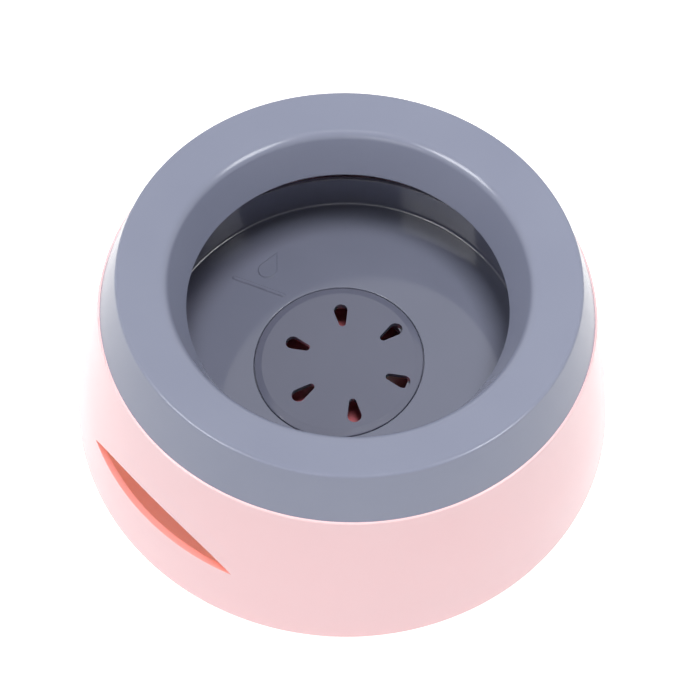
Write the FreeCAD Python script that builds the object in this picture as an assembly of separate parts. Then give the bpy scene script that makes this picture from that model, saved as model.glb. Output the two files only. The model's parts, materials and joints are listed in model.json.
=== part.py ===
# No-spill dog water bowl, in millimetres, standing on z = 0 with its axis on Z.
#
# A double-walled bowl base carries a lift-off splash lid whose throat hangs into the
# cup. A hollow float rides on the water under that throat. It is a dish with an air
# chamber below it, and a cap with six teardrop holes lets a little water up into it.
# With no water in the cup the float leans over on the foot of its cap.

import FreeCAD, Part
import math
import os

# Cup and its upstand, which centres the lid
cup_mouth_radius = 93.0
cup_draft = 2.0
cup_floor_height = 5.5
cup_corner_round = 4.0
upstand_rise = 6.0
base_wall = 2.4

# Shoulder that the lid stands on, and flared skirt
shoulder_height = 73.3
shoulder_round = 0.8
lid_seat_width = 6.8
shoulder_ledge = 0.8
skirt_flare = 17.0
skirt_foot_height = 0.5
band_height = 24.0
band_inset = 4.8
band_round = 300.0

# Grip slots through the skirt, one on each side
slot_azimuth = 227.3
slot_count = 2
slot_width = 85.0
slot_rise = 15.3
slot_sill_height = 28.0

# Gussets that tie the cup to the skirt under the shoulder, clear of the slots
gusset_thickness = 1.8
gusset_clearance = 2.7
gusset_marks = 8

# Rubber feet under the cup floor
foot_pad_count = 4
foot_pad_radius = 9.0
foot_pad_inset = 25.0
foot_pad_round = 0.8
pad_ring_wall = 1.6
pad_ring_depth = 1.5

# Splash lid: skirt, rim that falls inward, and throat, moulded as one wall
lid_wall = 2.4
lid_rise = 21.0
lid_draft = 8.5
lid_crease_round = 1.2
rim_fall = 4.9
rim_width = 19.6
rim_round = 5.0
throat_depth = 19.0
throat_draft = 7.2
locating_land = 1.6
locating_lift = 1.2

# Float: dish above, underside pan below, welded at the seam
float_clearance = 4.7
float_depth = 9.6
float_rim_rise = 19.0
float_wall = 2.0
float_edge_round = 4.0
float_seam_height = 5.0
dish_corner_round = 1.2
seat_width = 3.9
seat_depth = 2.2

# Flow cap: flush disc, collar in the float's bore and a foot on its axis
cap_radius = 37.5
cap_crown = 0.8
cap_bevel = 3.3
cap_thickness = 2.4
collar_wall = 1.6
collar_end_height = 1.0
cap_foot_radius = 4.0
cap_foot_round = 3.0
cap_foot_drop = 8.6

# Six teardrop holes, in a star that stands a little off the cap's middle
hole_count = 6
hole_azimuth = -20.9
hole_edge_margin = 7.7
hole_length = 11.4
hole_wide_radius = 3.1
hole_narrow_radius = 1.6
star_offset_x = 4.0
star_offset_y = -1.1

# How the float lies in the dry cup
lean_azimuth = 214.0
float_drift_x = -2.0

# Clearances
fit_gap = 0.3
rest_gap = 0.3
edge_break = 0.5

# Radii of the base and lid, worked out from the cup's mouth
cup_floor_radius = cup_mouth_radius - cup_draft
upstand_radius = cup_mouth_radius + base_wall
lid_edge_radius = upstand_radius + lid_seat_width
shoulder_radius = lid_edge_radius + shoulder_ledge
base_radius = shoulder_radius + skirt_flare
band_radius = base_radius - band_inset
lid_crease_radius = lid_edge_radius - lid_draft
rim_inner_radius = lid_crease_radius - rim_width
lip_radius = rim_inner_radius - throat_draft

# Heights of the lid and gussets, worked out from what they stand on or clear
lid_crease_height = shoulder_height + lid_rise
rim_inner_height = lid_crease_height - rim_fall
lip_height = rim_inner_height - throat_depth
gusset_foot_height = slot_sill_height + slot_rise + gusset_clearance

# Radii of the float, its bore, the feet and the holes
float_radius = cup_floor_radius - float_clearance
bore_radius = cap_radius - seat_width
foot_pad_circle = cup_floor_radius - foot_pad_inset
hole_outer_reach = cap_radius - hole_edge_margin
hole_inner_reach = hole_outer_reach - hole_length

os.makedirs("parts", exist_ok=True)

origin = FreeCAD.Vector(0, 0, 0)
up = FreeCAD.Vector(0, 0, 1)


def rounded_face(corners):
    """Face in the XZ plane from (radius, height, rounding) corners of a closed outline."""
    points = [FreeCAD.Vector(r, 0, z) for r, z, rounding in corners]
    runs = []
    for i, (r, z, rounding) in enumerate(corners):
        corner = points[i]
        back = (points[i - 1] - corner).normalize()
        ahead = (points[(i + 1) % len(points)] - corner).normalize()
        half = back.getAngle(ahead) / 2
        reach = rounding / math.tan(half)
        start = corner + back * reach
        end = corner + ahead * reach
        middle = corner + (back + ahead).normalize() * (rounding / math.sin(half) - rounding)
        runs.append((start, middle, end, rounding))
    edges = []
    for i, (start, middle, end, rounding) in enumerate(runs):
        if rounding > 0:
            edges.append(Part.Arc(start, middle, end).toShape())
        following = runs[(i + 1) % len(runs)][0]
        if end.distanceToPoint(following) > 1e-6:
            edges.append(Part.LineSegment(end, following).toShape())
    return Part.Face(Part.Wire(edges))


def turned(corners):
    """Solid of revolution about Z from the corners of its half section."""
    return rounded_face(corners).revolve(origin, up, 360)


def ring(inner, outer, bottom, top):
    """Plain ring about Z."""
    return turned([(inner, bottom, 0), (outer, bottom, 0), (outer, top, 0), (inner, top, 0)])


def crossing(p, d, q, e):
    """Where the line through p along d meets the line through q along e."""
    t = ((q[0] - p[0]) * e[1] - (q[1] - p[1]) * e[0]) / (d[0] * e[1] - d[1] * e[0])
    return (p[0] + d[0] * t, p[1] + d[1] * t)


def wall_section(path, thickness):
    """Corners of a wall of even thickness whose show face follows the path.

    The path runs up the skirt, inward and down, so the wall lies on its left. It starts
    on a level edge and ends square to itself.
    """
    steps = []
    for (r0, z0, _), (r1, z1, _) in zip(path[:-1], path[1:]):
        length = math.hypot(r1 - r0, z1 - z0)
        steps.append(((r1 - r0) / length, (z1 - z0) / length))
    sides = []
    for (r, z, _), (dr, dz) in zip(path[:-1], steps):
        sides.append((r - dz * thickness, z + dr * thickness))
    level = (1.0, 0.0)
    back = [crossing(sides[0], steps[0], path[0], level) + (path[0][2],)]
    for i in range(1, len(steps)):
        turn = steps[i - 1][0] * steps[i][1] - steps[i - 1][1] * steps[i][0]
        inside = path[i][2] - math.copysign(thickness, turn)
        rounding = max(inside, 0.0) if path[i][2] > 0 else 0.0
        back.append(crossing(sides[i - 1], steps[i - 1], sides[i], steps[i]) + (rounding,))
    end = path[-1]
    square = (-steps[-1][1], steps[-1][0])
    back.append(crossing(sides[-1], steps[-1], end, square) + (end[2],))
    return list(path) + back[::-1]


def along(path, height, first, last):
    """Radius of a straight stretch of a path at the given height."""
    (r0, z0, _), (r1, z1, _) = path[first], path[last]
    return r0 + (r1 - r0) * (height - z0) / (z1 - z0)


def about_axis(shape, azimuth):
    """Copy of a shape turned about Z."""
    copy = shape.copy()
    copy.rotate(origin, up, azimuth)
    return copy


def bowl_path():
    """Show face of the base: up the skirt, in over the shoulder, down into the cup."""
    return [
        (base_radius, skirt_foot_height, edge_break),
        (band_radius, band_height, band_round),
        (shoulder_radius, shoulder_height, shoulder_round),
        (cup_mouth_radius, shoulder_height, 0),
        (cup_floor_radius, cup_floor_height, cup_corner_round),
        (0, cup_floor_height, 0),
    ]


def make_upstand():
    """Short collar round the cup's mouth that centres the lid."""
    top = shoulder_height + upstand_rise
    foot = shoulder_height - base_wall
    return turned([
        (cup_mouth_radius, foot, 0),
        (upstand_radius, foot, 0),
        (upstand_radius, top, edge_break),
        (cup_mouth_radius, top, edge_break),
    ])


def make_slot_cutter():
    """Half-moon prism: level sill, arched top, cut straight out through the skirt."""
    start = upstand_radius
    half = slot_width / 2
    left = FreeCAD.Vector(start, -half, slot_sill_height)
    right = FreeCAD.Vector(start, half, slot_sill_height)
    crown = FreeCAD.Vector(start, 0, slot_sill_height + slot_rise)
    arch = Part.Arc(left, crown, right).toShape()
    sill = Part.LineSegment(right, left).toShape()
    moon = Part.Face(Part.Wire([arch, sill]))
    return moon.extrude(FreeCAD.Vector(base_radius - start, 0, 0))


def make_gusset(path):
    """Upright web from the middle of the cup wall to the middle of the skirt wall."""
    middle = base_wall / 2
    top = shoulder_height - middle
    corners = []
    for height in (gusset_foot_height, top):
        corners.append((along(path, height, 3, 4) + middle, height, 0))
    for height in (top, gusset_foot_height):
        corners.append((along(path, height, 1, 2) - middle, height, 0))
    web = rounded_face(corners)
    web.translate(FreeCAD.Vector(0, -gusset_thickness / 2, 0))
    return web.extrude(FreeCAD.Vector(0, gusset_thickness, 0))


def pad_azimuth(i):
    return slot_azimuth + 360 / foot_pad_count * (i + 0.5)


def make_pad_ring():
    """Raised ring on the cup's underside that holds one rubber foot."""
    inner = foot_pad_radius + fit_gap
    under = cup_floor_height - base_wall
    shape = ring(inner, inner + pad_ring_wall, under - pad_ring_depth, under + base_wall / 2)
    shape.translate(FreeCAD.Vector(foot_pad_circle, 0, 0))
    return shape


def make_bowl_base():
    path = bowl_path()
    base = turned(wall_section(path, base_wall))
    added = [make_upstand()]
    slot_marks = [gusset_marks // slot_count * i for i in range(slot_count)]
    for i in range(gusset_marks):
        if i not in slot_marks:
            added.append(about_axis(make_gusset(path), slot_azimuth + 360 / gusset_marks * i))
    for i in range(foot_pad_count):
        added.append(about_axis(make_pad_ring(), pad_azimuth(i)))
    base = base.fuse(added)
    slots = [about_axis(make_slot_cutter(), slot_azimuth + 360 / slot_count * i)
             for i in range(slot_count)]
    return base.cut(slots).removeSplitter()


def make_foot_pad(i):
    """Round rubber foot from the table up to the cup's underside."""
    pad = turned([
        (0, 0, 0),
        (foot_pad_radius, 0, foot_pad_round),
        (foot_pad_radius, cup_floor_height - base_wall, 0),
        (0, cup_floor_height - base_wall, 0),
    ])
    pad.translate(FreeCAD.Vector(foot_pad_circle, 0, 0))
    return about_axis(pad, pad_azimuth(i))


def lid_path():
    """Show face of the lid: up its skirt, in over the rim, down the throat to the lip."""
    return [
        (lid_edge_radius, shoulder_height, 0),
        (lid_crease_radius, lid_crease_height, lid_crease_round),
        (rim_inner_radius, rim_inner_height, rim_round),
        (lip_radius, lip_height, edge_break),
    ]


def make_locating_land():
    """Upright land inside the lid's skirt that slips over the cup's upstand."""
    inner = upstand_radius + fit_gap
    outer = inner + locating_land
    path = lid_path()
    slope = (path[0][0] - path[1][0]) / (path[1][1] - path[0][1])
    middle = lid_wall / 2
    foot = shoulder_height + locating_lift
    top_inner = shoulder_height + (lid_edge_radius - middle - inner) / slope
    top_outer = shoulder_height + (lid_edge_radius - middle - outer) / slope
    return turned([
        (inner, foot, edge_break),
        (outer, foot, 0),
        (outer, top_outer, 0),
        (inner, top_inner, 0),
    ])


def make_splash_lid():
    shell = turned(wall_section(lid_path(), lid_wall))
    return shell.fuse(make_locating_land()).removeSplitter()


def make_float_dish():
    """Dish with an upstanding wall outside and a stepped seat and tube inside."""
    inside = float_radius - float_wall
    seat_radius = cap_radius + fit_gap
    ledge = float_depth - seat_depth
    tube = bore_radius + float_wall
    rim = float_depth + float_rim_rise
    return turned([
        (inside, rim, edge_break),
        (float_radius, rim, edge_break),
        (float_radius, float_seam_height, 0),
        (inside, float_seam_height, 0),
        (inside, float_depth - float_wall, 0),
        (seat_radius + float_wall, float_depth - float_wall, 0),
        (seat_radius + float_wall, ledge - float_wall, 0),
        (tube, ledge - float_wall, 0),
        (tube, float_seam_height, 0),
        (bore_radius, float_seam_height, 0),
        (bore_radius, ledge, 0),
        (seat_radius, ledge, 0),
        (seat_radius, float_depth, edge_break / 2),
        (inside, float_depth, dish_corner_round),
    ])


def make_float_underside():
    """Ring-shaped pan that closes the air chamber from below."""
    inside = float_radius - float_wall
    tube = bore_radius + float_wall
    return turned([
        (float_radius, float_seam_height, 0),
        (inside, float_seam_height, 0),
        (inside, float_wall, float_edge_round - float_wall),
        (tube, float_wall, 0),
        (tube, float_seam_height, 0),
        (bore_radius, float_seam_height, 0),
        (bore_radius, 0, edge_break),
        (float_radius, 0, float_edge_round),
    ])


def make_teardrop():
    """Prism of one hole: a wide round end outward, a narrow one inward."""
    wide = hole_outer_reach - hole_wide_radius
    narrow = hole_inner_reach + hole_narrow_radius
    spread = math.acos((hole_wide_radius - hole_narrow_radius) / (wide - narrow))
    lean_r = -math.cos(spread)
    lean_t = math.sin(spread)

    def on(centre, radius, side):
        return FreeCAD.Vector(centre + radius * lean_r, side * radius * lean_t, 0)

    edges = [
        Part.Arc(on(wide, hole_wide_radius, -1), FreeCAD.Vector(hole_outer_reach, 0, 0),
                 on(wide, hole_wide_radius, 1)).toShape(),
        Part.LineSegment(on(wide, hole_wide_radius, 1), on(narrow, hole_narrow_radius, 1)).toShape(),
        Part.Arc(on(narrow, hole_narrow_radius, 1), FreeCAD.Vector(hole_inner_reach, 0, 0),
                 on(narrow, hole_narrow_radius, -1)).toShape(),
        Part.LineSegment(on(narrow, hole_narrow_radius, -1), on(wide, hole_wide_radius, -1)).toShape(),
    ]
    prism = Part.Face(Part.Wire(edges))
    return prism.extrude(FreeCAD.Vector(0, 0, float_depth + 2 * cap_crown))


def make_flow_cap():
    """Disc flush with the dish floor, collar down the bore, foot on the axis."""
    ledge = float_depth - seat_depth
    crown = float_depth + cap_crown
    under = crown - cap_thickness
    collar = bore_radius - fit_gap
    cap = turned([
        (0, crown, 0),
        (cap_radius - cap_bevel, crown, cap_crown),
        (cap_radius, float_depth, edge_break / 2),
        (cap_radius, ledge, 0),
        (collar, ledge, 0),
        (collar, collar_end_height, edge_break),
        (collar - collar_wall, collar_end_height, edge_break),
        (collar - collar_wall, under, edge_break),
        (cap_foot_radius, under, edge_break),
        (cap_foot_radius, -cap_foot_drop, cap_foot_round),
        (0, -cap_foot_drop, 0),
    ])
    holes = []
    for i in range(hole_count):
        hole = about_axis(make_teardrop(), hole_azimuth + 360 / hole_count * i)
        hole.translate(FreeCAD.Vector(star_offset_x, star_offset_y, 0))
        holes.append(hole)
    return cap.cut(holes)


def lean_angle():
    """Lean in degrees at which cap foot and float edge both stand on the cup floor."""
    edge_reach = float_radius - float_edge_round
    foot_reach = cap_foot_radius - cap_foot_round
    across = edge_reach - foot_reach
    down = cap_foot_drop - cap_foot_round + float_edge_round
    spare = cap_foot_round - float_edge_round
    return math.degrees(math.atan2(down, across) + math.asin(spare / math.hypot(across, down)))


def float_place():
    """Placement that carries the float's own frame, underside at zero, into the cup."""
    lean = math.radians(lean_angle())
    edge_reach = float_radius - float_edge_round
    lift = edge_reach * math.sin(lean) + float_edge_round * (1 - math.cos(lean))
    centre = FreeCAD.Vector(float_drift_x, 0, cup_floor_height + rest_gap + lift)
    bearing = math.radians(lean_azimuth)
    hinge = FreeCAD.Vector(-math.sin(bearing), math.cos(bearing), 0)
    return FreeCAD.Placement(centre, FreeCAD.Rotation(hinge, lean_angle()))


def placed(shape, place):
    copy = shape.copy()
    copy.Placement = place
    return copy


place = float_place()
pieces = {
    "bowl_base": make_bowl_base(),
    "splash_lid": make_splash_lid(),
    "float_dish": placed(make_float_dish(), place),
    "float_underside": placed(make_float_underside(), place),
    "flow_cap": placed(make_flow_cap(), place),
}
for i in range(foot_pad_count):
    pieces[f"foot_pad_{i + 1}"] = make_foot_pad(i)

for name, shape in pieces.items():
    shape.exportStep(f"parts/{name}.step")
    print(name, "solids", len(shape.Solids), "valid", shape.isValid(),
          "volume cm3", round(shape.Volume / 1000, 2))

print("lean", round(lean_angle(), 3))
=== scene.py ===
# %% [markdown]
# # A no-spill water bowl for a dog
#
# The bowl has five moulded parts: a pink base that is skirt, shoulder and cup in one
# wall, a blue-grey splash lid, a float of two halves, and a cap with six teardrop holes.
# Four rubber feet sit under the cup.
#
# Nearly every part is round about its own axis, so most of the shape is one outline
# turned about that axis. The outlines repeat the real sizes in millimetres, and each
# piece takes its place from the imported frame.

import json
import math

import bmesh
import bpy
from mathutils import Matrix, Vector

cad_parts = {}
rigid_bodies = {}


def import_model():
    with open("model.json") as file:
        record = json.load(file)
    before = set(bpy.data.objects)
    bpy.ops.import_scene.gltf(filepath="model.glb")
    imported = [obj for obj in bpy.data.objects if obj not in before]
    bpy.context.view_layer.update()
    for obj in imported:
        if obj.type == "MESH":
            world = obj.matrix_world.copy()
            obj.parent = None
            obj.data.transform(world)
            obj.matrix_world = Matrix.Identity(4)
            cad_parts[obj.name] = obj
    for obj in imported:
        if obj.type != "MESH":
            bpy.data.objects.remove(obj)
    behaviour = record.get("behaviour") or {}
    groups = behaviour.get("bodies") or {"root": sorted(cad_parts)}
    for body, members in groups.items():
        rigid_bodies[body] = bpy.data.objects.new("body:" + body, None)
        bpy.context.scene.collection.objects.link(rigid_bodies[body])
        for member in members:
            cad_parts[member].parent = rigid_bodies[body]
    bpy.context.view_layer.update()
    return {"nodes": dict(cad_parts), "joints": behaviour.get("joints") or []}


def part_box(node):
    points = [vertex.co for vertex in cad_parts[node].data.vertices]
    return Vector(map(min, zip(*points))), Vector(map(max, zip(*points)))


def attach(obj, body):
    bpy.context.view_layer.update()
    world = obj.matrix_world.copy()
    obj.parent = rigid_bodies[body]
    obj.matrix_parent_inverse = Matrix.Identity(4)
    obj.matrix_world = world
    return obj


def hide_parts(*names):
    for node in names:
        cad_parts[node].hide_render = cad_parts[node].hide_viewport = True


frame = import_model()
MM = 0.001

# %% [markdown]
# ## Sizes
#
# The cup's mouth drives the base and the lid, as it does on the real mould: the upstand
# goes round the mouth, the lid seats on the shoulder outside that, and the skirt flares
# out from the shoulder. All lengths are in millimetres.

# %% Sizes of the base
cup_mouth_radius = 93.0
cup_draft = 2.0
cup_floor_height = 5.5
cup_corner_round = 4.0
upstand_rise = 6.0
base_wall = 2.4
shoulder_height = 73.3
shoulder_round = 0.8
lid_seat_width = 6.8
shoulder_ledge = 0.8
skirt_flare = 17.0
skirt_foot_height = 0.5
band_height = 24.0
band_inset = 4.8
band_round = 300.0
edge_break = 0.5
fit_gap = 0.3

cup_floor_radius = cup_mouth_radius - cup_draft
upstand_radius = cup_mouth_radius + base_wall
lid_edge_radius = upstand_radius + lid_seat_width
shoulder_radius = lid_edge_radius + shoulder_ledge
base_radius = shoulder_radius + skirt_flare
band_radius = base_radius - band_inset
print("base", 2 * base_radius, "mm across, cup", 2 * cup_mouth_radius)

# %% Sizes of the lid
lid_wall = 2.4
lid_rise = 21.0
lid_draft = 8.5
lid_crease_round = 1.2
rim_fall = 4.9
rim_width = 19.6
rim_round = 5.0
throat_depth = 19.0
throat_draft = 7.2
locating_land = 1.6
locating_lift = 1.2

lid_crease_radius = lid_edge_radius - lid_draft
lid_crease_height = shoulder_height + lid_rise
rim_inner_radius = lid_crease_radius - rim_width
rim_inner_height = lid_crease_height - rim_fall
lip_radius = rim_inner_radius - throat_draft
lip_height = rim_inner_height - throat_depth
print("lid", 2 * lid_edge_radius, "mm across, throat", 2 * lip_radius)

# %% Sizes of the float and its cap
float_clearance = 4.7
float_depth = 9.6
float_rim_rise = 19.0
float_wall = 2.0
float_edge_round = 4.0
float_seam_height = 5.0
dish_corner_round = 1.2
seat_width = 3.9
seat_depth = 2.2
cap_radius = 37.5
cap_crown = 0.8
cap_bevel = 3.3
cap_thickness = 2.4
collar_wall = 1.6
collar_end_height = 1.0
cap_foot_radius = 4.0
cap_foot_round = 3.0
cap_foot_drop = 8.6

float_radius = cup_floor_radius - float_clearance
bore_radius = cap_radius - seat_width
print("float", 2 * float_radius, "mm across, cap", 2 * cap_radius)

# %% [markdown]
# ## Outlines with rounded corners
#
# A moulded part has no sharp edge. Each outline is a short list of corners, and a corner
# carries the radius of its rounding. One function swaps every corner for an arc. It also
# puts a point just before and after each arc, because smooth shading would otherwise
# bleed the arc's bend into the flat beside it.

# %% From corners to an outline
arc_step = math.radians(9)
guard_length = 0.6


def unit(a, b):
    """Direction from a to b, of length 1."""
    length = math.dist(a, b)
    return (b[0] - a[0]) / length, (b[1] - a[1]) / length


def corner_arc(before, corner, after, radius):
    """Points of the arc that rounds one corner of an outline."""
    back, ahead = unit(corner, before), unit(corner, after)
    opening = math.acos(max(-1.0, min(1.0, back[0] * ahead[0] + back[1] * ahead[1])))
    reach = radius / math.tan(opening / 2)
    start = [corner[k] + back[k] * reach for k in (0, 1)]
    bend = math.pi - opening
    side = 1 if back[0] * ahead[1] - back[1] * ahead[0] < 0 else -1
    centre = [start[0] + side * back[1] * radius, start[1] - side * back[0] * radius]
    count = max(2, math.ceil(bend / arc_step))
    first = math.atan2(start[1] - centre[1], start[0] - centre[0])
    turns = [first + side * bend * i / count for i in range(count + 1)]
    return [(centre[0] + radius * math.cos(t), centre[1] + radius * math.sin(t)) for t in turns]


def outline(corners):
    """Closed (radius, height) outline from (radius, height, rounding) corners."""
    arcs = []
    for i, (r, z, rounding) in enumerate(corners):
        before, after = corners[i - 1][:2], corners[(i + 1) % len(corners)][:2]
        arcs.append(corner_arc(before, (r, z), after, rounding) if rounding > 0 else [(r, z)])
    points = []
    for arc, following in zip(arcs, arcs[1:] + arcs[:1]):
        points += arc
        gap = math.dist(arc[-1], following[0])
        if gap > 3 * guard_length:
            along = unit(arc[-1], following[0])
            for reach in (guard_length, gap - guard_length):
                points.append((arc[-1][0] + along[0] * reach, arc[-1][1] + along[1] * reach))
    return points + points[:1]


print("a 1 mm rounding takes", len(corner_arc((0, 5), (0, 0), (5, 0), 1.0)), "points")

# %% [markdown]
# ## Walls of even thickness
#
# Injection moulding needs an even wall, so base and lid are drawn by their show face
# alone. A Solidify modifier could thicken that face after it is turned. Here the hidden
# face is worked out in the outline instead, set back by the wall, because then each
# rounding on the back can be smaller or larger by the wall, as it is in the mould.


# %% From a show face to its wall
def crossing(p, d, q, e):
    """Where the line through p along d meets the line through q along e."""
    t = ((q[0] - p[0]) * e[1] - (q[1] - p[1]) * e[0]) / (d[0] * e[1] - d[1] * e[0])
    return p[0] + d[0] * t, p[1] + d[1] * t


def hidden_face(path, wall):
    """Corners of the wall's back, from the path's end to its start."""
    steps = [unit(a[:2], b[:2]) for a, b in zip(path[:-1], path[1:])]
    sides = [(r - dz * wall, z + dr * wall) for (r, z, _), (dr, dz) in zip(path, steps)]
    back = [crossing(sides[0], steps[0], path[0], (1.0, 0.0)) + (path[0][2],)]
    for i in range(1, len(steps)):
        turn = steps[i - 1][0] * steps[i][1] - steps[i - 1][1] * steps[i][0]
        rounding = max(path[i][2] - math.copysign(wall, turn), 0.0) if path[i][2] > 0 else 0.0
        back.append(crossing(sides[i - 1], steps[i - 1], sides[i], steps[i]) + (rounding,))
    square = (-steps[-1][1], steps[-1][0])
    back.append(crossing(sides[-1], steps[-1], path[-1], square) + (path[-1][2],))
    return back[::-1]


skirt_and_cup = [
    (base_radius, skirt_foot_height, edge_break),
    (band_radius, band_height, band_round),
    (shoulder_radius, shoulder_height, shoulder_round),
    (cup_mouth_radius, shoulder_height, 0),
    (cup_floor_radius, cup_floor_height, cup_corner_round),
    (0, cup_floor_height, 0),
]
cup_back = hidden_face(skirt_and_cup, base_wall)
print("hidden face of the base:", [(round(r, 1), round(z, 1)) for r, z, _ in cup_back])

# %% [markdown]
# ## One node at a time
#
# Geometry Nodes and materials are both node trees, so one small helper serves them all.
# It adds a node, sets its options and sockets, and links what feeds it.


# %% A helper for node trees
def node(tree, kind, settings={}, values={}, links={}):
    """Adds one node to a tree and returns it."""
    made = tree.nodes.new(kind)
    for name, value in settings.items():
        setattr(made, name, value)
    for name, value in values.items():
        made.inputs[name].default_value = value
    for name, socket in links.items():
        tree.links.new(socket, made.inputs[name])
    return made


def new_geometry_tree(name, inputs):
    """Geometry tree with a mesh in and out, and the named inputs between."""
    tree = bpy.data.node_groups.new(name, "GeometryNodeTree")
    tree.interface.new_socket("Mesh", in_out="INPUT", socket_type="NodeSocketGeometry")
    tree.interface.new_socket("Mesh", in_out="OUTPUT", socket_type="NodeSocketGeometry")
    for title, kind in inputs.items():
        tree.interface.new_socket(title, in_out="INPUT", socket_type="NodeSocket" + kind)
    return tree, node(tree, "NodeGroupInput"), node(tree, "NodeGroupOutput")


print("helper ready")

# %% [markdown]
# ## Turning an outline about its axis
#
# A lathe, a Screw modifier or a spin in edit mode could all turn an outline. Here a node
# tree does it, because the rule is then written once and every round part uses it. A grid
# has one row for each point of the outline and one column for each step round the axis.
# Each grid point takes the place of its outline point, turned by its column's angle.

# %% The lathe tree
seam_reach = 0.002
lathe, given, result = new_geometry_tree("turn outline about Z", {"Steps": "Int", "Material": "Material"})
outline_size = node(lathe, "GeometryNodeAttributeDomainSize", links={"Geometry": given.outputs["Mesh"]})
columns = node(lathe, "ShaderNodeMath", {"operation": "ADD"}, {1: 1.0}, {0: given.outputs["Steps"]})
grid = node(lathe, "GeometryNodeMeshGrid", links={
    "Vertices X": outline_size.outputs["Point Count"], "Vertices Y": columns.outputs[0]})
number = node(lathe, "GeometryNodeInputIndex")
row_part = node(lathe, "ShaderNodeMath", {"operation": "DIVIDE"}, links={
    0: number.outputs[0], 1: columns.outputs[0]})
row = node(lathe, "ShaderNodeMath", {"operation": "FLOOR"}, links={0: row_part.outputs[0]})
column = node(lathe, "ShaderNodeMath", {"operation": "MODULO"}, links={
    0: number.outputs[0], 1: columns.outputs[0]})
part_turn = node(lathe, "ShaderNodeMath", {"operation": "DIVIDE"}, links={
    0: column.outputs[0], 1: given.outputs["Steps"]})
angle = node(lathe, "ShaderNodeMath", {"operation": "MULTIPLY"}, {1: math.tau}, {0: part_turn.outputs[0]})
here = node(lathe, "GeometryNodeInputPosition")
on_outline = node(lathe, "GeometryNodeSampleIndex", {"data_type": "FLOAT_VECTOR", "domain": "POINT"}, links={
    "Geometry": given.outputs["Mesh"], "Value": here.outputs[0], "Index": row.outputs[0]})
swung = node(lathe, "ShaderNodeVectorRotate", {"rotation_type": "Z_AXIS"}, links={
    "Vector": on_outline.outputs[0], "Angle": angle.outputs[0]})
moved = node(lathe, "GeometryNodeSetPosition", links={
    "Geometry": grid.outputs["Mesh"], "Position": swung.outputs[0]})
closed = node(lathe, "GeometryNodeMergeByDistance", values={"Distance": seam_reach * MM}, links={
    "Geometry": moved.outputs[0]})
smooth = node(lathe, "GeometryNodeSetShadeSmooth", links={0: closed.outputs[0]})
real = node(lathe, "GeometryNodeRealizeInstances", links={0: smooth.outputs[0]})
coated = node(lathe, "GeometryNodeSetMaterial", links={
    "Geometry": real.outputs[0], "Material": given.outputs["Material"]})
lathe.links.new(coated.outputs[0], result.inputs["Mesh"])
print("lathe tree has", len(lathe.nodes), "nodes")

# %% [markdown]
# ## Copies round an axis
#
# The cap's holes, the ribs under the shoulder, the foot rings and the grip slots are each
# one shape repeated at even turns. An Array modifier round an empty could do that, but
# one tree serves all four: it puts a copy on every mark of a circle. An input can leave
# out every n-th mark, which the ribs need where the grip slots are.

# %% The ring tree
ring_copies, given, result = new_geometry_tree("copies round Z", {
    "Marks": "Int", "First angle": "Float", "Leave out every": "Int", "Material": "Material"})
marks = node(ring_copies, "GeometryNodePoints", links={"Count": given.outputs["Marks"]})
number = node(ring_copies, "GeometryNodeInputIndex")
left = node(ring_copies, "ShaderNodeMath", {"operation": "MODULO"}, links={
    0: number.outputs[0], 1: given.outputs["Leave out every"]})
is_left = node(ring_copies, "ShaderNodeMath", {"operation": "LESS_THAN"}, {1: 0.5}, {0: left.outputs[0]})
any_left = node(ring_copies, "ShaderNodeMath", {"operation": "GREATER_THAN"}, {1: 0.5}, {
    0: given.outputs["Leave out every"]})
both = node(ring_copies, "ShaderNodeMath", {"operation": "MULTIPLY"}, links={
    0: is_left.outputs[0], 1: any_left.outputs[0]})
kept = node(ring_copies, "ShaderNodeMath", {"operation": "SUBTRACT"}, {0: 1.0}, {1: both.outputs[0]})
pitch = node(ring_copies, "ShaderNodeMath", {"operation": "DIVIDE"}, {0: math.tau}, {
    1: given.outputs["Marks"]})
turn = node(ring_copies, "ShaderNodeMath", {"operation": "MULTIPLY_ADD"}, links={
    0: number.outputs[0], 1: pitch.outputs[0], 2: given.outputs["First angle"]})
turn_about_z = node(ring_copies, "ShaderNodeCombineXYZ", links={"Z": turn.outputs[0]})
copies = node(ring_copies, "GeometryNodeInstanceOnPoints", links={
    "Points": marks.outputs[0], "Selection": kept.outputs[0], "Instance": given.outputs["Mesh"],
    "Rotation": turn_about_z.outputs[0]})
real = node(ring_copies, "GeometryNodeRealizeInstances", links={0: copies.outputs[0]})
coated = node(ring_copies, "GeometryNodeSetMaterial", links={
    "Geometry": real.outputs[0], "Material": given.outputs["Material"]})
ring_copies.links.new(coated.outputs[0], result.inputs["Mesh"])
print("ring tree has", len(ring_copies.nodes), "nodes")

# %% [markdown]
# ## From a tree to a plain mesh
#
# The export drops instances and live trees, so each tree's result is copied into a plain
# mesh and its modifier goes. Inputs are set by the socket's identifier before the object
# is first evaluated.


# %% Run a tree and keep its mesh
def object_from(name, vertices, faces=()):
    """Object in the scene from points in millimetres."""
    mesh = bpy.data.meshes.new(name)
    mesh.from_pydata([Vector(v) * MM for v in vertices], (), faces)
    piece = bpy.data.objects.new(name, mesh)
    bpy.context.scene.collection.objects.link(piece)
    return piece


def keep_result(piece):
    """Swaps a piece's mesh for what its modifiers make of it."""
    bpy.context.view_layer.update()
    shaped = piece.evaluated_get(bpy.context.evaluated_depsgraph_get())
    piece_mesh = bpy.data.meshes.new_from_object(shaped)
    piece.modifiers.clear()
    piece.data = piece_mesh


def run_tree(piece, tree, inputs):
    """Runs a geometry tree on a piece, with its inputs given by their titles."""
    modifier = piece.modifiers.new(tree.name, "NODES")
    modifier.node_group = tree
    for item in tree.interface.items_tree:
        if item.in_out == "INPUT" and item.name in inputs:
            modifier[item.identifier] = inputs[item.name]
    keep_result(piece)


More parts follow.
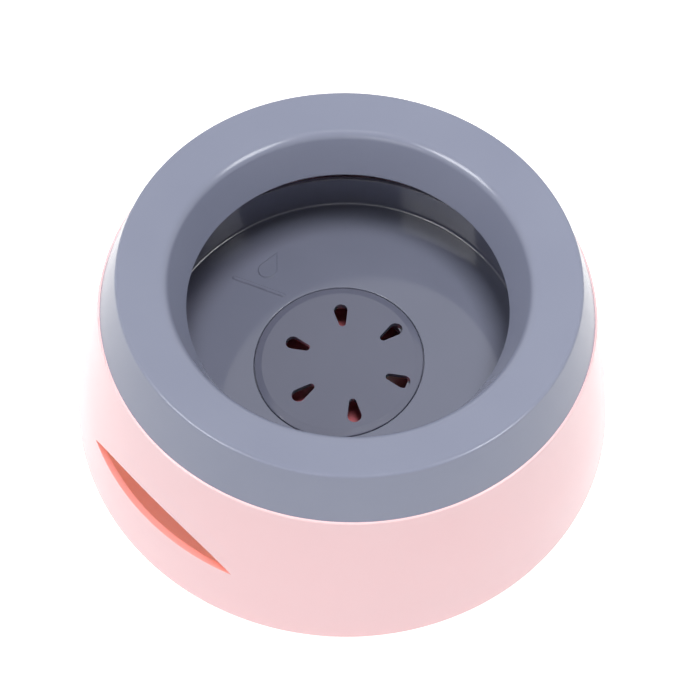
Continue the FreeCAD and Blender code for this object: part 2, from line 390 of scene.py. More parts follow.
def point_outwards(piece):
    """Turns a closed shell's faces outwards."""
    shell = bmesh.new()
    shell.from_mesh(piece.data)
    bmesh.ops.recalc_face_normals(shell, faces=shell.faces)
    shell.to_mesh(piece.data)
    shell.free()


steps_round = 288


def turned(name, corners, material, steps=steps_round):
    """Round solid from the corners of its half section."""
    piece = object_from(name, [(r, 0, z) for r, z in outline(corners)])
    run_tree(piece, lathe, {"Steps": steps, "Material": material})
    point_outwards(piece)
    return piece


def join(piece, others):
    """Adds other pieces' shells to a piece, all in the piece's own material."""
    coat = piece.data.materials[-1]
    whole = bmesh.new()
    for part in [piece] + others:
        whole.from_mesh(part.data)
    whole.to_mesh(piece.data)
    whole.free()
    piece.data.materials.clear()
    piece.data.materials.append(coat)
    piece.data.polygons.foreach_set("material_index", [0] * len(piece.data.polygons))
    for part in others:
        bpy.data.objects.remove(part)


skirt_step = math.tau * base_radius / steps_round
print("round parts have", steps_round, "steps, each", round(skirt_step, 1), "mm long at the skirt")

# %% [markdown]
# ## Colours
#
# Colours are given as sRGB hex values, the way a paint program shows them.
# Shaders work in linear light, so one function converts them.


# %% Hex colour to linear
def linear(hex_colour):
    """Linear red, green, blue and full alpha of an sRGB hex colour."""
    channels = [int(hex_colour[i:i + 2], 16) / 255 for i in (1, 3, 5)]
    return [c / 12.92 if c <= 0.04045 else ((c + 0.055) / 1.055) ** 2.4 for c in channels] + [1.0]


print("pale pink in linear light:", [round(c, 3) for c in linear("#FFDADE")])

# %% [markdown]
# ## Moulded polypropylene
#
# Base, lid, float and cap are polypropylene, injection-moulded in a polished tool. The
# gloss is soft, because the skin has a very fine orange-peel waviness and the sheen
# changes a little where the melt cooled at different speeds. The float and the cap are
# glossier and a little darker than the lid.
#
# Pale polypropylene is also translucent. Light goes through the pink skirt, warmer than
# it came in, and the hollow behind a grip slot glows salmon with it. So the skirt's
# hidden side and the cut faces of its slots mostly pass on the light that fell on the
# show face. Subsurface scattering could show that too. A translucent shader is mixed in
# here, because its share can differ from one side of the wall to the other. The
# blue-grey is loaded with pigment and lets nothing through.
# The cup's floor gets painted shade, a crimson that deepens downward and stands in for light bounced in the
# shaded cup.


# %% An empty material to fill
def blank_material(name):
    """Material with an empty node tree, the tree, and its texture coordinates."""
    material = bpy.data.materials.new(name)
    material.use_nodes = True
    tree = material.node_tree
    tree.nodes.clear()
    return material, tree, node(tree, "ShaderNodeTexCoord")


print("each material starts from an empty node tree")


# %% What the pink wall does with light
def painted_cup_floor_shade(tree, place, shade):
    """Mixes painted shade into a colour: a crimson that deepens down the cup to its floor, seen through the
    cap's holes.
    """
    fade_top, fade_foot, deepest_painted_share = 40.0, 8.0, 0.75
    first_shade, second_shade, mixed_shade = 6, 7, 2
    at = node(tree, "ShaderNodeSeparateXYZ", links={0: place.outputs["Object"]})
    outwards = node(tree, "ShaderNodeCombineXYZ", links={"X": at.outputs["X"], "Y": at.outputs["Y"]})
    radius = node(tree, "ShaderNodeVectorMath", {"operation": "LENGTH"}, links={0: outwards.outputs[0]})
    in_cup = node(tree, "ShaderNodeMath", {"operation": "LESS_THAN"}, {1: cup_mouth_radius * MM}, {
        0: radius.outputs["Value"]})
    depth = node(tree, "ShaderNodeMapRange", values={
        "From Min": fade_top * MM, "From Max": fade_foot * MM, "To Max": deepest_painted_share}, links={
        "Value": at.outputs["Z"]})
    share = node(tree, "ShaderNodeMath", {"operation": "MULTIPLY"}, links={
        0: in_cup.outputs[0], 1: depth.outputs["Result"]})
    # Painted shade: this crimson stands in for light bounced to and fro in the shaded pink cup, not a colour
    # of the plastic.
    painted_crimson = node(tree, "ShaderNodeMix", {"data_type": "RGBA"}, {second_shade: linear("#FF6478")}, {
        "Factor": share.outputs[0], first_shade: shade})
    return painted_crimson.outputs[mixed_shade]


def light_through_skirt(tree, place, show_finish):
    """Mixes light from the far side of the wall into a finish, mostly on the skirt's hidden side."""
    show_share, hidden_share, inside_share = 0.04, 0.68, 0.9
    least_outward = 0.25
    shoulder_margin = 4.0
    face = node(tree, "ShaderNodeNewGeometry")
    at = node(tree, "ShaderNodeSeparateXYZ", links={0: place.outputs["Object"]})
    outwards = node(tree, "ShaderNodeCombineXYZ", links={"X": at.outputs["X"], "Y": at.outputs["Y"]})
    radius = node(tree, "ShaderNodeVectorMath", {"operation": "LENGTH"}, links={0: outwards.outputs[0]})
    facing = node(tree, "ShaderNodeVectorMath", {"operation": "DOT_PRODUCT"}, links={
        0: outwards.outputs[0], 1: face.outputs["Normal"]})
    slant = node(tree, "ShaderNodeMath", {"operation": "DIVIDE"}, links={
        0: facing.outputs["Value"], 1: radius.outputs["Value"]})
    is_hidden = node(tree, "ShaderNodeMath", {"operation": "LESS_THAN"}, {1: least_outward}, {
        0: slant.outputs[0]})
    in_skirt = node(tree, "ShaderNodeMath", {"operation": "GREATER_THAN"}, {1: upstand_radius * MM}, {
        0: radius.outputs["Value"]})
    below_shoulder = node(tree, "ShaderNodeMath", {"operation": "LESS_THAN"}, {
        1: (shoulder_height - shoulder_margin) * MM}, {0: at.outputs["Z"]})
    on_skirt = node(tree, "ShaderNodeMath", {"operation": "MULTIPLY"}, links={
        0: in_skirt.outputs[0], 1: below_shoulder.outputs[0]})
    hidden_side = node(tree, "ShaderNodeMath", {"operation": "MULTIPLY"}, links={
        0: is_hidden.outputs[0], 1: on_skirt.outputs[0]})
    show_side = node(tree, "ShaderNodeMath", {"operation": "MULTIPLY"}, {1: show_share}, {
        0: in_skirt.outputs[0]})
    seen_share = node(tree, "ShaderNodeMapRange", values={"To Max": hidden_share}, links={
        "Value": hidden_side.outputs[0], "To Min": show_side.outputs[0]})
    share = node(tree, "ShaderNodeMapRange", values={"To Max": inside_share}, links={
        "Value": face.outputs["Backfacing"], "To Min": seen_share.outputs["Result"]})
    glow = node(tree, "ShaderNodeBsdfTranslucent", values={"Color": linear("#F9C4B4")})
    wall = node(tree, "ShaderNodeMixShader", links={
        0: share.outputs["Result"], 1: show_finish, 2: glow.outputs[0]})
    return wall.outputs[0]


print("light passes the pink wall beyond a radius of", upstand_radius, "mm")


# %% Shader for the moulded shells
def moulded_polypropylene(name, shade, cooler_shade, sheen_low, sheen_high, cloud_size, translucent=False):
    """Glossy moulded plastic with melt-flow clouds, of a size in millimetres, and orange peel; when
    translucent, it also gets painted shade on the cup's floor.
    """
    peel_pitch = 2.2
    peel_height = 0.004
    peel_strength = 0.35
    cloud_low, cloud_high = 0.2, 0.8
    material, tree, place = blank_material(name)
    clouds = node(tree, "ShaderNodeTexNoise", values={
        "Scale": 1 / (cloud_size * MM), "Detail": 3.0, "Roughness": 0.45}, links={
        "Vector": place.outputs["Object"]})
    tint = node(tree, "ShaderNodeValToRGB", links={"Fac": clouds.outputs["Fac"]})
    tint.color_ramp.elements[0].position = cloud_low
    tint.color_ramp.elements[0].color = linear(cooler_shade)
    tint.color_ramp.elements[1].position = cloud_high
    tint.color_ramp.elements[1].color = linear(shade)
    sheen = node(tree, "ShaderNodeMapRange", values={
        "From Min": cloud_low, "From Max": cloud_high, "To Min": sheen_low, "To Max": sheen_high}, links={
        "Value": clouds.outputs["Fac"]})
    peel = node(tree, "ShaderNodeTexNoise", values={
        "Scale": 1 / (peel_pitch * MM), "Detail": 2.0, "Roughness": 0.5}, links={
        "Vector": place.outputs["Object"]})
    skin = node(tree, "ShaderNodeBump", values={
        "Strength": peel_strength, "Distance": peel_height * MM}, links={"Height": peel.outputs["Fac"]})
    # On the translucent pink, the cup's floor gets painted shade, a deeper crimson.
    colour = painted_cup_floor_shade(tree, place, tint.outputs["Color"]) if translucent else tint.outputs["Color"]
    plastic = node(tree, "ShaderNodeBsdfPrincipled", values={"IOR": 1.49}, links={
        "Base Color": colour, "Roughness": sheen.outputs["Result"], "Normal": skin.outputs["Normal"]})
    finish = plastic.outputs["BSDF"]
    if translucent:
        finish = light_through_skirt(tree, place, finish)
    node(tree, "ShaderNodeOutputMaterial", links={"Surface": finish})
    return material


pink_shell = moulded_polypropylene(
    "pale pink moulded polypropylene", "#FFDADE", "#FFD7DB", 0.20, 0.26, 45.0, translucent=True)
grey_shell = moulded_polypropylene(
    "blue-grey moulded polypropylene", "#8B90A4", "#868BA0", 0.16, 0.22, 45.0)
grey_float = moulded_polypropylene(
    "blue-grey polypropylene of the float", "#777B8D", "#74788A", 0.06, 0.10, 30.0)
grey_cap = moulded_polypropylene(
    "blue-grey polypropylene of the flow cap", "#6B6E80", "#686B7D", 0.06, 0.10, 30.0)
print("plastics:", ", ".join(plastic.name for plastic in (pink_shell, grey_shell, grey_float, grey_cap)))

# %% [markdown]
# ## Thermoplastic rubber
#
# The feet are a soft thermoplastic rubber. It is matt, because its skin is textured so
# that it grips, and each grain is a little paler in its middle. The feet keep the meshes
# of the frame, which already have their shape.

# %% Shader for the feet
grip_grain = 0.7
pit_depth = 0.05
foot_rubber, tree, place = blank_material("matt thermoplastic rubber")
grain = node(tree, "ShaderNodeTexVoronoi", values={"Scale": 1 / (grip_grain * MM)}, links={
    "Vector": place.outputs["Object"]})
grain_tint = node(tree, "ShaderNodeValToRGB", links={"Fac": grain.outputs["Distance"]})
grain_tint.color_ramp.elements[0].color = linear("#E3DFDD")
grain_tint.color_ramp.elements[1].color = linear("#CFCAC9")
pits = node(tree, "ShaderNodeBump", values={"Strength": 0.6, "Distance": pit_depth * MM}, links={
    "Height": grain.outputs["Distance"]})
rubber = node(tree, "ShaderNodeBsdfPrincipled", values={"IOR": 1.52, "Roughness": 0.75}, links={
    "Base Color": grain_tint.outputs["Color"], "Normal": pits.outputs["Normal"]})
node(tree, "ShaderNodeOutputMaterial", links={"Surface": rubber.outputs["BSDF"]})
for name, cad_node in frame["nodes"].items():
    if name.startswith("foot_pad"):
        cad_node.data.materials.clear()
        cad_node.data.materials.append(foot_rubber)
print("feet coated:", sum(name.startswith("foot_pad") for name in frame["nodes"]))

# %% [markdown]
# ## The pink base
#
# Skirt, shoulder and cup are one wall, open from below, so one outline runs up the
# skirt, in over the shoulder, round the upstand, down into the cup and back along the
# hidden side.

# %% Base shell
upstand_top = shoulder_height + upstand_rise
show_face = skirt_and_cup[:3] + [
    (upstand_radius, shoulder_height, 0),
    (upstand_radius, upstand_top, edge_break),
    (cup_mouth_radius, upstand_top, edge_break),
] + skirt_and_cup[4:]
bowl = turned("pink_base", show_face + cup_back, pink_shell)
print("base shell:", len(bowl.data.polygons), "faces")

# %% [markdown]
# Under the shoulder, thin ribs tie the cup to the skirt. They stand on eight marks, and
# the two marks at the grip slots stay free. Each could be modelled in its place, but all
# are alike, so one plain box that ends inside both walls is repeated by the ring tree.

# %% Ribs
slot_count = 2
slot_azimuth = math.radians(227.3)
slot_sill_height = 28.0
slot_rise = 15.3
slot_width = 85.0
rib_marks = 8
rib_thickness = 1.8
rib_clearance = 2.7
rib_foot_height = slot_sill_height + slot_rise + rib_clearance


def on_stretch(a, b, height):
    """Radius at a height on the straight line between two corners."""
    return a[0] + (b[0] - a[0]) * (height - a[1]) / (b[1] - a[1])


rib_top_height = shoulder_height - base_wall / 2
rib_outline = []
for height in (rib_foot_height, rib_top_height):
    rib_outline.append((on_stretch(skirt_and_cup[3], skirt_and_cup[4], height) + base_wall / 2, height))
for height in (rib_top_height, rib_foot_height):
    rib_outline.append((on_stretch(skirt_and_cup[1], skirt_and_cup[2], height) - base_wall / 2, height))
rib_sides = (-rib_thickness / 2, rib_thickness / 2)
rib = object_from("rib", [(r, y, z) for y in rib_sides for r, z in rib_outline], faces=[
    (0, 1, 2, 3), (7, 6, 5, 4), (0, 4, 5, 1), (1, 5, 6, 2), (2, 6, 7, 3), (3, 7, 4, 0)])
run_tree(rib, ring_copies, {
    "Marks": rib_marks, "First angle": slot_azimuth, "Leave out every": rib_marks // slot_count,
    "Material": pink_shell})
point_outwards(rib)
print("ribs:", len(rib.data.polygons) // 6)

# %% [markdown]
# A low ring under the cup floor holds each rubber foot. It is turned like the larger
# round parts, moved out to the circle of the feet, and repeated by the ring tree.

# %% Foot rings
foot_count = 4
foot_inset = 25.0
foot_radius = 9.0
ring_wall = 1.6
ring_depth = 1.5
ring_edge_round = 0.2
foot_circle = cup_floor_radius - foot_inset
ring_inner = foot_radius + fit_gap
ring_outer = ring_inner + ring_wall
cup_underside = cup_floor_height - base_wall
foot_ring = turned("foot_ring", [
    (ring_inner, cup_underside - ring_depth, ring_edge_round),
    (ring_outer, cup_underside - ring_depth, ring_edge_round),
    (ring_outer, cup_underside + base_wall / 2, 0),
    (ring_inner, cup_underside + base_wall / 2, 0),
], pink_shell, steps=48)
foot_ring.data.transform(Matrix.Translation((foot_circle * MM, 0, 0)))
run_tree(foot_ring, ring_copies, {
    "Marks": foot_count, "First angle": slot_azimuth + math.pi / foot_count, "Leave out every": 0,
    "Material": pink_shell})
print("foot rings:", foot_count, "with", len(foot_ring.data.polygons), "faces")

# %% [markdown]
# Each grip slot is a half moon with a level sill, cut straight through the skirt. The
# faces could be left out of the turned grid, but its steps wouldn't meet the arch, so a
# Boolean takes the slot out of the finished shell. The mould shuts off there, so the
# slot's edges are crisp and get no rounding.


# %% Grip slots
def cut_away(piece, cutter):
    """Cuts one mesh out of another and drops the cutter."""
    cut = piece.modifiers.new("cut", "BOOLEAN")
    cut.operation = "DIFFERENCE"
    cut.solver = "EXACT"
    cut.object = cutter
    keep_result(piece)
    bpy.data.objects.remove(cutter)


def moon_cutter():
    """Half-moon prism from outside the upstand to outside the skirt."""
    half = slot_width / 2
    arch_radius = (half ** 2 + slot_rise ** 2) / (2 * slot_rise)
    arch_top = slot_sill_height + slot_rise
    swing = math.asin(half / arch_radius)
    arch_steps = 40
    beyond_skirt = 5.0
    moon = []
    for i in range(arch_steps + 1):
        t = swing * (2 * i / arch_steps - 1)
        moon.append((arch_radius * math.sin(t), arch_top + arch_radius * (math.cos(t) - 1)))
    count = len(moon)
    corners = [(r, y, z) for r in (upstand_radius, base_radius + beyond_skirt) for y, z in moon]
    faces = [tuple(range(count)), tuple(range(2 * count - 1, count - 1, -1))]
    faces += [(i, count + i, count + (i + 1) % count, (i + 1) % count) for i in range(count)]
    cutter = object_from("slot_cutter", corners, faces=faces)
    run_tree(cutter, ring_copies, {
        "Marks": slot_count, "First angle": slot_azimuth, "Leave out every": 0, "Material": pink_shell})
    point_outwards(cutter)
    return cutter


cut_away(bowl, moon_cutter())
join(bowl, [rib, foot_ring])
print("base with slots:", len(bowl.data.polygons), "faces")

# %% [markdown]
# ## The splash lid
#
# The lid is one wall too: a short skirt, a broad rim that falls inward, and a throat
# that hangs into the cup so that a lapping dog can't splash the water out. Its show face
# is four corners, turned with the same wall rule as the base. A land inside the skirt
# slips over the cup's upstand, and is a second ring that ends in the middle of the wall.

# %% Lid shell and land
lid_face = [
    (lid_edge_radius, shoulder_height, 0),
    (lid_crease_radius, lid_crease_height, lid_crease_round),
    (rim_inner_radius, rim_inner_height, rim_round),
    (lip_radius, lip_height, edge_break),
]
lid = turned("grey_splash_lid", lid_face + hidden_face(lid_face, lid_wall), grey_shell)
land_inner = upstand_radius + fit_gap
land_outer = land_inner + locating_land
lid_slope = lid_draft / lid_rise
lid_mid_radius = lid_edge_radius - lid_wall / 2
land = turned("lid_land", [
    (land_inner, shoulder_height + locating_lift, edge_break),
    (land_outer, shoulder_height + locating_lift, 0),
    (land_outer, shoulder_height + (lid_mid_radius - land_outer) / lid_slope, 0),
    (land_inner, shoulder_height + (lid_mid_radius - land_inner) / lid_slope, 0),
], grey_shell)
join(lid, [land])
print("lid:", len(lid.data.polygons), "faces")

# %% [markdown]
# ## Where the float lies
#
# With no water in the cup the float leans over. The frame knows how: the cap lifts along
# the float's own axis, so that joint's axis is the float's normal. The underside is
# round about the same axis, so the middle of its reach both ways is the axis itself, and
# its lowest point along the normal is the float's own zero height.

# %% The float's own frame
normal = Vector(next(j for j in frame["joints"] if j["name"] == "cap_lift")["axis"]).normalized()
sideways = Vector((1, 0, -normal.x / normal.z)).normalized()
across = normal.cross(sideways)
underside_points = [v.co for v in frame["nodes"]["float_underside"].data.vertices]


def middle_and_low(direction):
    """Middle and lower end of the underside's reach along a direction."""
    reach = [p.dot(direction) for p in underside_points]
    return (min(reach) + max(reach)) / 2, min(reach)


float_centre = (sideways * middle_and_low(sideways)[0] + across * middle_and_low(across)[0]
                + normal * middle_and_low(normal)[1])
float_place = Matrix.Translation(float_centre) @ Matrix((sideways, across, normal)).transposed().to_4x4()
print("float centre in mm:", [round(v / MM, 2) for v in float_centre],
      "lean in degrees:", round(math.degrees(math.acos(normal.z)), 2))

# %% [markdown]
# ## The float
#
# The float is a dish with an upstanding wall, and a pan welded under it that closes the
# air chamber. The dish has a stepped seat in the middle for the cap. The walls step too
# much for the rule of the even wall, so both halves are drawn as whole outlines.

# %% Float dish and underside
inside_radius = float_radius - float_wall
seat_radius = cap_radius + fit_gap
seat_height = float_depth - seat_depth
tube_radius = bore_radius + float_wall
float_rim_height = float_depth + float_rim_rise
dish = turned("grey_float_dish", [
    (inside_radius, float_rim_height, edge_break),
    (float_radius, float_rim_height, edge_break),
    (float_radius, float_seam_height, 0),
    (inside_radius, float_seam_height, 0),
    (inside_radius, float_depth - float_wall, 0),
    (seat_radius + float_wall, float_depth - float_wall, 0),
    (seat_radius + float_wall, seat_height - float_wall, 0),
    (tube_radius, seat_height - float_wall, 0),
    (tube_radius, float_seam_height, 0),
    (bore_radius, float_seam_height, 0),
    (bore_radius, seat_height, 0),
    (seat_radius, seat_height, 0),
    (seat_radius, float_depth, edge_break),
    (inside_radius, float_depth, dish_corner_round),
], grey_float)
underside = turned("grey_float_underside", [
    (float_radius, float_seam_height, 0),
    (inside_radius, float_seam_height, 0),
    (inside_radius, float_wall, float_edge_round - float_wall),
    (tube_radius, float_wall, 0),
    (tube_radius, float_seam_height, 0),
    (bore_radius, float_seam_height, 0),
    (bore_radius, 0, edge_break),
    (float_radius, 0, float_edge_round),
], grey_float)
print("float dish:", len(dish.data.polygons), "faces, underside:", len(underside.data.polygons))

# %% [markdown]
# A small raised sign stands on the dish floor: a water drop over a level bar. A bump in
# the material could draw it, but real relief shows from the side too, so each mark is a
# low prism. Its sides slope, as a mould needs, and catch the light as thin lines.

# %% Raised sign on the dish floor
sign_height = 0.6
sign_draft = 0.6
sign_centre = (-35.0, 47.0)
sign_turn = math.radians(-21.7)
drop_radius = 4.6
drop_tip = 10.5
bar_length = 27.0
bar_width = 2.2
bar_below_drop = 9.6


def raised(name, foot, half_length, half_width):
    """Low relief on the dish floor, given by its foot's outline about its own middle."""
    count = len(foot)
    inset = (1 - sign_draft / half_length, 1 - sign_draft / half_width)
    corners = [(x, y, float_depth - sign_height) for x, y in foot]
    corners += [(x, y, float_depth) for x, y in foot]
    corners += [(x * inset[0], y * inset[1], float_depth + sign_height) for x, y in foot]
    faces = [tuple(range(count - 1, -1, -1)), tuple(range(2 * count, 3 * count))]
    for level in (0, count):
        faces += [(level + i, level + (i + 1) % count, level + count + (i + 1) % count, level + count + i)
                  for i in range(count)]
    mark = object_from(name, corners, faces=faces)
    point_outwards(mark)
    return mark


tip_spread = math.acos(drop_radius / drop_tip)
drop_steps = 28
bar_end_steps = 8
drop_outline = [(0.0, drop_tip)]
for i in range(drop_steps + 1):
    t = math.pi / 2 + tip_spread + (math.tau - 2 * tip_spread) * i / drop_steps
    drop_outline.append((drop_radius * math.cos(t), drop_radius * math.sin(t)))
bar_outline = []
bar_round = bar_width / 2
for end, start in ((1, -math.pi / 2), (-1, math.pi / 2)):
    middle = end * (bar_length - bar_width) / 2
    for i in range(bar_end_steps + 1):
        t = start + math.pi * i / bar_end_steps
        bar_outline.append((middle + bar_round * math.cos(t), bar_round * math.sin(t)))
drop_mark = raised("sign_drop", drop_outline, drop_radius, drop_radius)
bar_mark = raised("sign_bar", bar_outline, bar_length / 2, bar_width / 2)
bar_mark.data.transform(Matrix.Translation((0, -bar_below_drop * MM, 0)))
sign_shift = Matrix.Translation((sign_centre[0] * MM, sign_centre[1] * MM, 0))
for mark in (drop_mark, bar_mark):
    mark.data.transform(sign_shift @ Matrix.Rotation(sign_turn, 4, "Z"))
join(dish, [drop_mark, bar_mark])
print("sign:", round(bar_length), "mm wide, raised", sign_height, "mm")

# %% [markdown]
# ## The flow cap
#
# The cap is a disc with a flat bevel, a collar that drops into the float's bore, and a
# foot on its axis. All of it is one outline, turned with fewer steps than the base,
# because it is smaller.

# %% Cap body
crown_height = float_depth + cap_crown
cap_under = crown_height - cap_thickness
collar_radius = bore_radius - fit_gap
cap = turned("grey_flow_cap", [
    (0, crown_height, 0),
    (cap_radius - cap_bevel, crown_height, cap_crown),
    (cap_radius, float_depth, edge_break),
    (cap_radius, seat_height, 0),
    (collar_radius, seat_height, 0),
    (collar_radius, collar_end_height, edge_break),
    (collar_radius - collar_wall, collar_end_height, edge_break),
    (collar_radius - collar_wall, cap_under, edge_break),
    (cap_foot_radius, cap_under, edge_break),
    (cap_foot_radius, -cap_foot_drop, cap_foot_round),
    (0, -cap_foot_drop, 0),
], grey_cap, steps=192)
print("cap body:", len(cap.data.polygons), "faces")

# %% [markdown]
# Six teardrop holes let a little water up into the dish. One teardrop is drawn as two
# arcs and their common tangents, the ring tree makes the star, and a Boolean cuts it out.
# The star stands a little off the cap's middle, as the photograph shows it.

# %% Star of teardrop holes
hole_count = 6
hole_azimuth = math.radians(-20.9)
hole_edge_margin = 7.7
hole_length = 11.4
hole_wide_radius = 3.1
hole_narrow_radius = 1.6
hole_overreach = 2.0
star_offset = Vector((4.0, -1.1, 0.0)) * MM
hole_outer_reach = cap_radius - hole_edge_margin
hole_inner_reach = hole_outer_reach - hole_length


def teardrop(bottom, top):
    """Prism of one hole: a wide round end outward, a narrow one inward."""
    wide = hole_outer_reach - hole_wide_radius
    narrow = hole_inner_reach + hole_narrow_radius
    spread = math.acos((hole_wide_radius - hole_narrow_radius) / (wide - narrow))
    arc_points = 14
    drop = []
    for centre, radius, start, end in ((wide, hole_wide_radius, spread - math.pi, math.pi - spread),
                                       (narrow, hole_narrow_radius, math.pi - spread, math.pi + spread)):
        for i in range(arc_points + 1):
            t = start + (end - start) * i / arc_points
            drop.append((centre + radius * math.cos(t), radius * math.sin(t)))
    count = len(drop)
    corners = [(x, y, z) for z in (bottom, top) for x, y in drop]
    faces = [tuple(range(count - 1, -1, -1)), tuple(range(count, 2 * count))]
    faces += [(i, (i + 1) % count, count + (i + 1) % count, count + i) for i in range(count)]
    return object_from("teardrop", corners, faces=faces)


star = teardrop(cap_under - hole_overreach, crown_height + hole_overreach)
run_tree(star, ring_copies, {
    "Marks": hole_count, "First angle": hole_azimuth, "Leave out every": 0, "Material": grey_cap})
star.data.transform(Matrix.Translation(star_offset))
point_outwards(star)
cut_away(cap, star)
print("cap with", hole_count, "holes:", len(cap.data.polygons), "faces")

# %% [markdown]
# ## Set the pieces in their places
#
# The three float pieces are turned in their own frame, so they are now carried into the
# cup. Every piece ends with its place in its mesh and its object at the origin. Edges
# that a rounding doesn't soften are marked sharp, then each piece is tied to the CAD
# body that it moves with.


# %% Tie the pieces to the frame
sharp_from = math.radians(32)


def settle(piece, body, cad_node):
    """Marks a piece's sharp edges, ties it to its body, hides the CAD node it stands in for and prints how
    far their boxes differ.
    """
    piece.data.set_sharp_from_angle(angle=sharp_from)
    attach(piece, body)
    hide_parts(cad_node)
    low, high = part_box(cad_node)
    corners = [v.co for v in piece.data.vertices]
    off = max(abs(pick(c[k] for c in corners) - edge[k])
              for pick, edge in ((min, low), (max, high)) for k in range(3))
    print(f"{piece.name} stands in for {cad_node}, boxes agree to {off / MM:.3f} mm")


for piece in (dish, underside, cap):
    piece.data.transform(float_place)
settle(bowl, "base", "bowl_base")
settle(lid, "lid", "splash_lid")
settle(dish, "float", "float_dish")
settle(underside, "float", "float_underside")
settle(cap, "cap", "flow_cap")

# %% [markdown]
# ## Floor
#
# The bowl was shot on white. The floor is a pale matt sheet, which takes a soft shadow,
# and what the camera and the reflections see of it gets extra white on top. More light
# would whiten it too, but would bleach the bowl. The extra stays off the disc under the
# base, so that the inside of the skirt isn't lit by it. From below the sheet is clear, so
# that the feet can be looked at.


# %% Floor
def seen_directly(tree):
    """Socket that is 1 for camera, glossy and transmission rays, and 0 for all others."""
    rays = node(tree, "ShaderNodeLightPath")
    seen = node(tree, "ShaderNodeMath", {"operation": "MAXIMUM"}, links={
        0: rays.outputs["Is Camera Ray"], 1: rays.outputs["Is Glossy Ray"]})
    seen_or_through = node(tree, "ShaderNodeMath", {"operation": "MAXIMUM"}, links={
        0: seen.outputs[0], 1: rays.outputs["Is Transmission Ray"]})
    return seen_or_through.outputs[0]


floor_size = 6.0
floor_lift = 0.75
lift_free_radius = base_radius - 2.0
floor_half = floor_size / 2 / MM
floor_corners = [(x * floor_half, y * floor_half, 0) for x, y in ((-1, -1), (1, -1), (1, 1), (-1, 1))]
floor = object_from("floor", floor_corners, faces=[(0, 1, 2, 3)])
matt_white, tree, place = blank_material("matt white sheet")
from_axis = node(tree, "ShaderNodeVectorMath", {"operation": "LENGTH"}, links={0: place.outputs["Object"]})
outside = node(tree, "ShaderNodeMath", {"operation": "GREATER_THAN"}, {1: lift_free_radius * MM}, {
    0: from_axis.outputs["Value"]})
lifted = node(tree, "ShaderNodeMath", {"operation": "MULTIPLY"}, links={
    0: outside.outputs[0], 1: seen_directly(tree)})
lift = node(tree, "ShaderNodeMath", {"operation": "MULTIPLY"}, {1: floor_lift}, {0: lifted.outputs[0]})
sheet = node(tree, "ShaderNodeBsdfDiffuse", values={"Color": linear("#E6E6E6")})
extra = node(tree, "ShaderNodeEmission", links={"Strength": lift.outputs[0]})
white = node(tree, "ShaderNodeAddShader", links={0: sheet.outputs[0], 1: extra.outputs[0]})
side = node(tree, "ShaderNodeNewGeometry")
clear = node(tree, "ShaderNodeBsdfTransparent")
one_sided = node(tree, "ShaderNodeMixShader", links={
    0: side.outputs["Backfacing"], 1: white.outputs[0], 2: clear.outputs[0]})
node(tree, "ShaderNodeOutputMaterial", links={"Surface": one_sided.outputs[0]})
floor.data.materials.append(matt_white)
print("floor", floor_size, "m across")

# %% [markdown]
# ## Light from the room
#
# The room is a white surround. What the camera and the gloss see of it is plain white.
# As a light it is brightest low down and at the left, which reaches the skirt but not
# into the cup. An image of a room could light it too, but here the level is worked out
# from the direction: one level low in front and one high up, and both grow to the sides.

# %% World
low_front, low_sides = 0.9, 0.14
high_up, high_sides = 0.12, 0.48
low_until, high_from = 0.22, 0.38
left_bias = 0.35
world = bpy.data.worlds.new("white surround")
bpy.context.scene.world = world
world.use_nodes = True
tree = world.node_tree
tree.nodes.clear()
direction = node(tree, "ShaderNodeTexCoord")
part_of = node(tree, "ShaderNodeSeparateXYZ", links={0: direction.outputs["Generated"]})
from_right = node(tree, "ShaderNodeMath", {"operation": "SUBTRACT"}, {1: left_bias}, {
    0: part_of.outputs["X"]})
sideward = node(tree, "ShaderNodeMath", {"operation": "MULTIPLY"}, links={
    0: from_right.outputs[0], 1: from_right.outputs[0]})
low = node(tree, "ShaderNodeMath", {"operation": "MULTIPLY_ADD"}, {1: low_sides, 2: low_front}, {
    0: sideward.outputs[0]})
high = node(tree, "ShaderNodeMath", {"operation": "MULTIPLY_ADD"}, {1: high_sides, 2: high_up}, {
    0: sideward.outputs[0]})
room = node(tree, "ShaderNodeMapRange", values={"From Min": low_until, "From Max": high_from}, links={
    "Value": part_of.outputs["Z"], "To Min": low.outputs[0], "To Max": high.outputs[0]})
level = node(tree, "ShaderNodeMapRange", values={"To Max": 1.0}, links={
    "Value": seen_directly(tree), "To Min": room.outputs["Result"]})
surround = node(tree, "ShaderNodeBackground", values={"Color": linear("#FFFFFF")}, links={
    "Strength": level.outputs["Result"]})
node(tree, "ShaderNodeOutputWorld", links={"Surface": surround.outputs[0]})
print("surround as a light:", low_front, "low in front,", high_up, "high up")

# %% [markdown]
# ## Lamps
#
# A lamp high overhead lights the rim and the float's floor, so the wall under the lid
# stays dark, as in the photograph. Two softboxes show only in the gloss, as the streaks
# on the rim's inner corner and the lighter patches on the float's wall, and their
# direction comes from where those lie. They stand high, so that the lid doesn't mirror
# them to a camera behind the bowl. A narrow light strip, seen in the gloss alone too,
# draws the thin line along the foot of the float's wall.


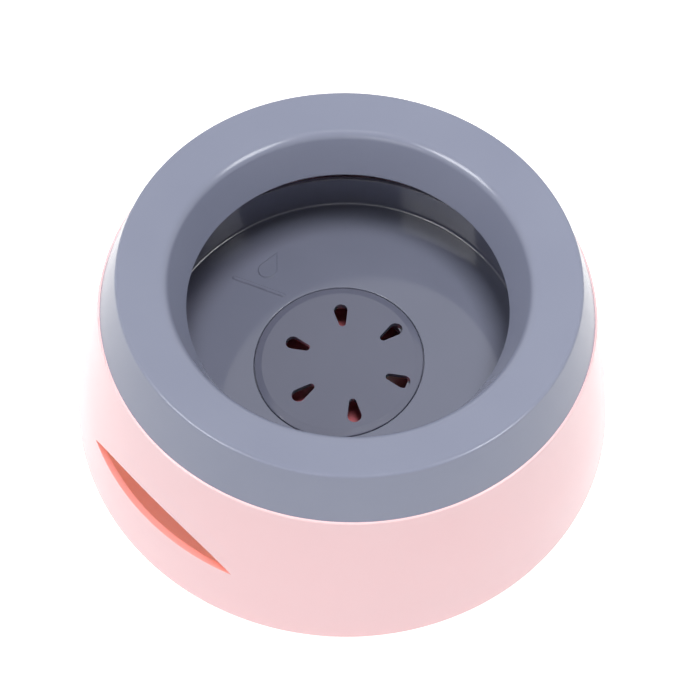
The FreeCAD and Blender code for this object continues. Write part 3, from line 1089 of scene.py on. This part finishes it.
# %% Softboxes
def softbox(name, azimuth, elevation, distance, width, height, watts, in_gloss):
    """Lamp that faces the bowl, in metres and degrees, for the gloss alone or for the rest alone."""
    lamp = bpy.data.lights.new(name, "AREA")
    lamp.shape = "RECTANGLE"
    lamp.size = width
    lamp.size_y = height
    lamp.energy = watts
    holder = bpy.data.objects.new(name, lamp)
    holder.visible_camera = False
    holder.visible_diffuse = not in_gloss
    holder.visible_glossy = in_gloss
    a, e = math.radians(azimuth), math.radians(elevation)
    holder.location = Vector((math.cos(e) * math.cos(a), math.cos(e) * math.sin(a), math.sin(e))) * distance
    holder.rotation_euler = holder.location.to_track_quat("Z", "Y").to_euler()
    bpy.context.scene.collection.objects.link(holder)


softbox("softbox right", -22, 50, 1.3, 0.47, 0.6, 8.2, in_gloss=True)
softbox("softbox left", -156, 50, 1.3, 0.6, 0.5, 9.5, in_gloss=True)
softbox("light strip", -104, 31, 1.3, 0.8, 0.1, 1.5, in_gloss=True)
softbox("overhead lamp", -60, 84, 1.6, 0.5, 0.5, 20.0, in_gloss=False)
print("lamps:", ", ".join(lamp.name for lamp in bpy.data.lights))

# %% [markdown]
# ## Camera
#
# The camera's place and lens come from fitting the bowl's circles to the photograph. It
# looks down from the front at about 59 degrees, with a small pan, tilt and roll.

# %% Camera
sensor_width = 36.0
lens = 73.2
elevation = 1.035999
distance = 0.65098
pan, tilt, roll = 0.003036, -0.0264518, 0.0568834

look_from = Vector((0, -math.cos(elevation), math.sin(elevation))) * distance
towards = -look_from.normalized()
right = Vector((1, 0, 0))
down = towards.cross(right)
aim = Matrix((right, down, towards))
pan_turn = Matrix(((math.cos(pan), 0, -math.sin(pan)), (0, 1, 0), (math.sin(pan), 0, math.cos(pan))))
tilt_turn = Matrix(((1, 0, 0), (0, math.cos(tilt), -math.sin(tilt)), (0, math.sin(tilt), math.cos(tilt))))
roll_turn = Matrix(((math.cos(roll), -math.sin(roll), 0), (math.sin(roll), math.cos(roll), 0), (0, 0, 1)))
rows = roll_turn @ tilt_turn @ pan_turn @ aim
facing = Matrix((rows[0], -rows[1], -rows[2])).transposed().to_4x4()
camera = bpy.data.objects.new("camera", bpy.data.cameras.new("camera"))
camera.data.sensor_width = sensor_width
camera.data.lens = lens
camera.matrix_world = Matrix.Translation(look_from) @ facing
bpy.context.scene.collection.objects.link(camera)
bpy.context.scene.camera = camera
bpy.context.scene.view_settings.view_transform = "Standard"
print("camera at", [round(v, 3) for v in look_from])
